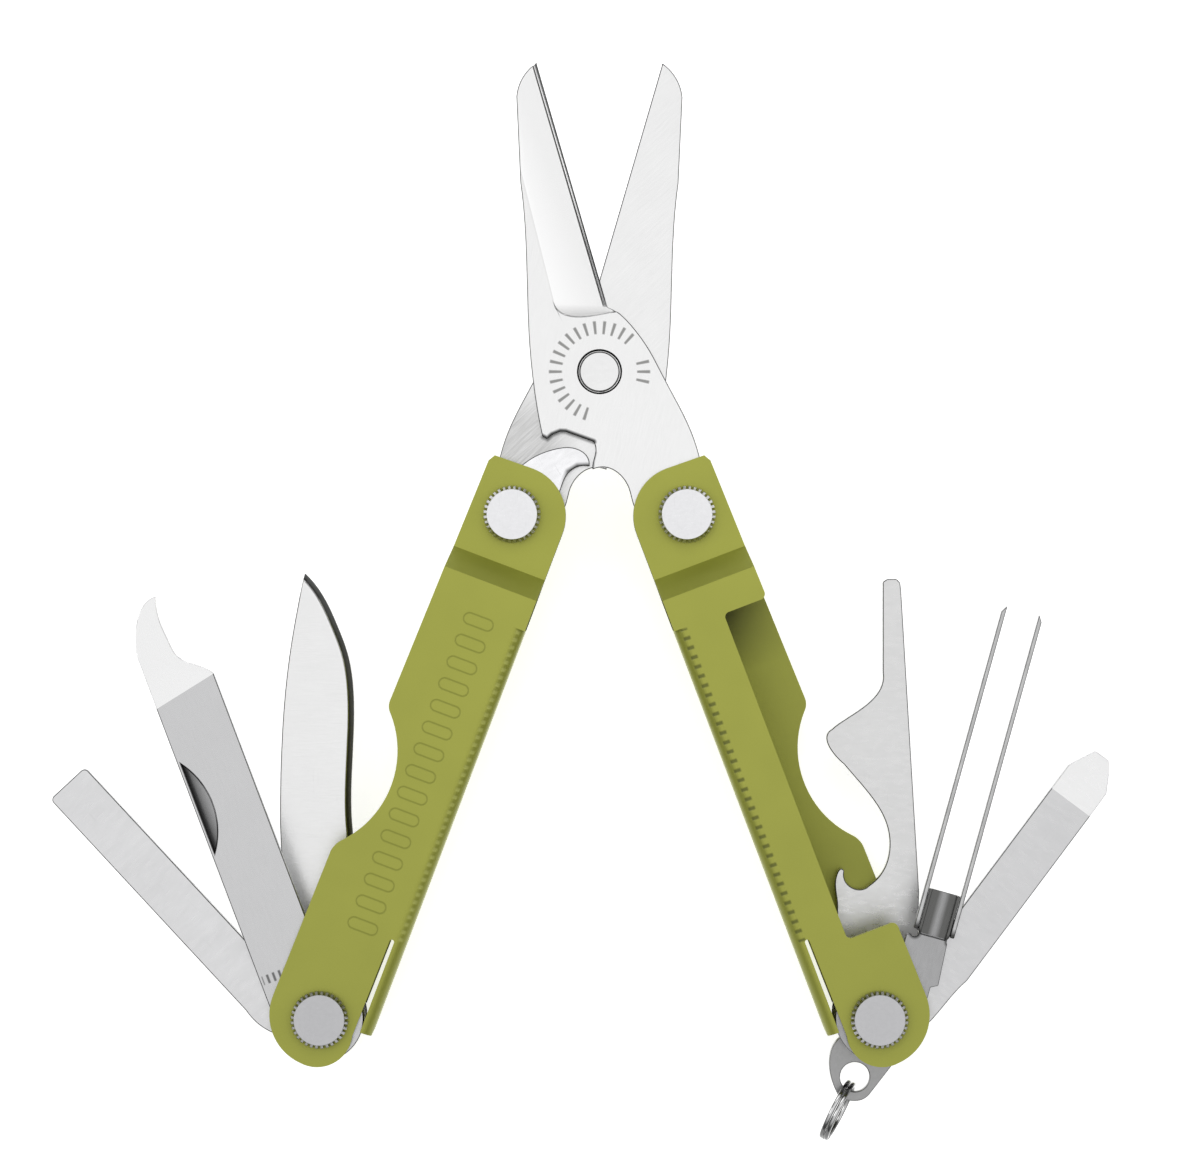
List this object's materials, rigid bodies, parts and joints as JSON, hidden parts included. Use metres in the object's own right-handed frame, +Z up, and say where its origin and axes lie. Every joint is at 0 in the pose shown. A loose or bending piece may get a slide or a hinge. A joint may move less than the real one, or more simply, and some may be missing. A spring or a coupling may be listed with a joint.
{
  "type": "folding pocket multi tool",
  "caption": "Folding keychain tool: spring-action scissors on channel handles that hold knife, file, drivers, tweezers, bottle opener, lanyard tab and split ring.",
  "frame": {"origin": "middle of the footprint of the opened tool, on the surface that it lies on", "axes": "+Z up through the tool's thickness, +Y from the handles' ends to the scissors' tips, +X to the right seen from above"},
  "size_m": [0.1052, 0.1078, 0.0122],
  "materials": {
    "anodised": "satin lime-green anodised sheet",
    "fastener": "satin nickel-plated",
    "spacer": "plain",
    "scissor_steel": "ground and polished stainless",
    "tool_steel": "brushed stainless",
    "spring_steel": "polished spring steel",
    "ring_steel": "bright nickel"
  },
  "bodies": {
    "scissors_back": {"back_blade": "scissor_steel"},
    "rivet": {"scissor_rivet": "fastener"},
    "collar": {"pivot_collar": "spacer"},
    "scissors_front": {"front_blade": "scissor_steel"},
    "spring": {"scissor_spring": "spring_steel"},
    "left_grip": {"left_handle": "anodised", "left_top_post": "fastener", "left_top_screw": "fastener", "left_bottom_post": "fastener", "left_bottom_screw": "fastener", "left_tool_spacer": "spacer"},
    "right_grip": {"right_handle": "anodised", "right_top_post": "fastener", "right_top_screw": "fastener", "right_bottom_post": "fastener", "right_bottom_screw": "fastener", "right_front_spacer": "spacer", "right_back_spacer": "spacer", "right_top_spacer": "spacer"},
    "knife": {"knife_blade": "tool_steel"},
    "file": {"nail_file": "tool_steel"},
    "driver": {"flat_driver": "tool_steel"},
    "cross_driver": {"phillips_driver": "tool_steel"},
    "tweezers": {"tweezer_base": "tool_steel"},
    "tweezer_left": {"tweezer_arm_left": "spring_steel"},
    "tweezer_right": {"tweezer_arm_right": "spring_steel"},
    "opener": {"bottle_opener": "tool_steel"},
    "tab": {"lanyard_tab": "tool_steel"},
    "ring": {"split_ring": "ring_steel"}
  },
  "joints": [
    {"name": "left_handle_fold", "type": "hinge", "parent": "scissors_back", "child": "left_grip", "pos_m": [-0.00687, 0.00876, 0.00612], "axis": [0, 0, 1], "range_deg": [-171.7, 0]},
    {"name": "rivet_turn", "type": "hinge", "parent": "scissors_back", "child": "rivet", "pos_m": [0.00183, 0.02301, 0.00612], "axis": [0, 0, -1], "range_deg": [0, 12.51]},
    {"name": "collar_turn", "type": "hinge", "parent": "rivet", "child": "collar", "pos_m": [0.00183, 0.02301, 0.00612], "axis": [0, 0, -1], "range_deg": [0, 12.51]},
    {"name": "scissors_cut", "type": "hinge", "parent": "collar", "child": "scissors_front", "pos_m": [0.00183, 0.02301, 0.00612], "axis": [0, 0, -1], "range_deg": [0, 25], "stiffness_Nm_per_rad": 0.02, "springref_deg": -14.32, "deforming": ["scissor_spring"]},
    {"name": "right_handle_fold", "type": "hinge", "parent": "scissors_front", "child": "right_grip", "pos_m": [0.01053, 0.00876, 0.00612], "axis": [0, 0, -1], "range_deg": [-171.7, 0]},
    {"name": "spring_rock", "type": "hinge", "parent": "scissors_back", "child": "spring", "pos_m": [-0.00687, 0.00876, 0.00612], "axis": [0, 0, 1], "range_deg": [0, 30]},
    {"name": "knife_fold", "type": "hinge", "parent": "left_grip", "child": "knife", "pos_m": [-0.02587, -0.04126, 0.00612], "axis": [0, 0, 1], "range_deg": [-20.8, 159.2]},
    {"name": "file_fold", "type": "hinge", "parent": "left_grip", "child": "file", "pos_m": [-0.02587, -0.04126, 0.00612], "axis": [0, 0, 1], "range_deg": [-41.5, 138.5]},
    {"name": "driver_fold", "type": "hinge", "parent": "left_grip", "child": "driver", "pos_m": [-0.02587, -0.04126, 0.00612], "axis": [0, 0, 1], "range_deg": [-63.65, 116.35]},
    {"name": "cross_driver_fold", "type": "hinge", "parent": "right_grip", "child": "cross_driver", "pos_m": [0.02953, -0.04126, 0.00612], "axis": [0, 0, -1], "range_deg": [-57.6, 122.4]},
    {"name": "tweezers_fold", "type": "hinge", "parent": "right_grip", "child": "tweezers", "pos_m": [0.02953, -0.04126, 0.00612], "axis": [0, 0, -1], "range_deg": [-36.3, 143.7]},
    {"name": "tweezers_squeeze", "type": "hinge", "parent": "tweezers", "child": "tweezer_left", "pos_m": [0.03433, -0.02827, 0.00962], "axis": [0, 0, -1], "range_deg": [0, 2.4], "stiffness_Nm_per_rad": 0.05},
    {"name": "tweezers_squeeze_right", "type": "hinge", "parent": "tweezers", "child": "tweezer_right", "pos_m": [0.03789, -0.02925, 0.00962], "axis": [0, 0, 1], "range_deg": [0, 2.4], "stiffness_Nm_per_rad": 0.05},
    {"name": "opener_fold", "type": "hinge", "parent": "right_grip", "child": "opener", "pos_m": [0.02953, -0.04126, 0.00612], "axis": [0, 0, -1], "range_deg": [-17.5, 162.5]},
    {"name": "lanyard_swing", "type": "hinge", "parent": "right_grip", "child": "tab", "pos_m": [0.02953, -0.04126, 0.00612], "axis": [0, 0, 1], "range_deg": [0, 90]},
    {"name": "ring_swing", "type": "hinge", "parent": "tab", "child": "ring", "pos_m": [0.02733, -0.04741, 0.00612], "axis": [0, 0, 1], "range_deg": [-40, 40]}
  ],
  "couplings": [
    {"joint": "rivet_turn", "follows": "left_handle_fold", "ratio": -0.072801},
    {"joint": "collar_turn", "follows": "right_handle_fold", "ratio": -0.072801},
    {"joint": "spring_rock", "follows": "scissors_cut", "ratio": 1.2},
    {"joint": "tweezers_squeeze_right", "follows": "tweezers_squeeze", "ratio": 1}
  ]
}
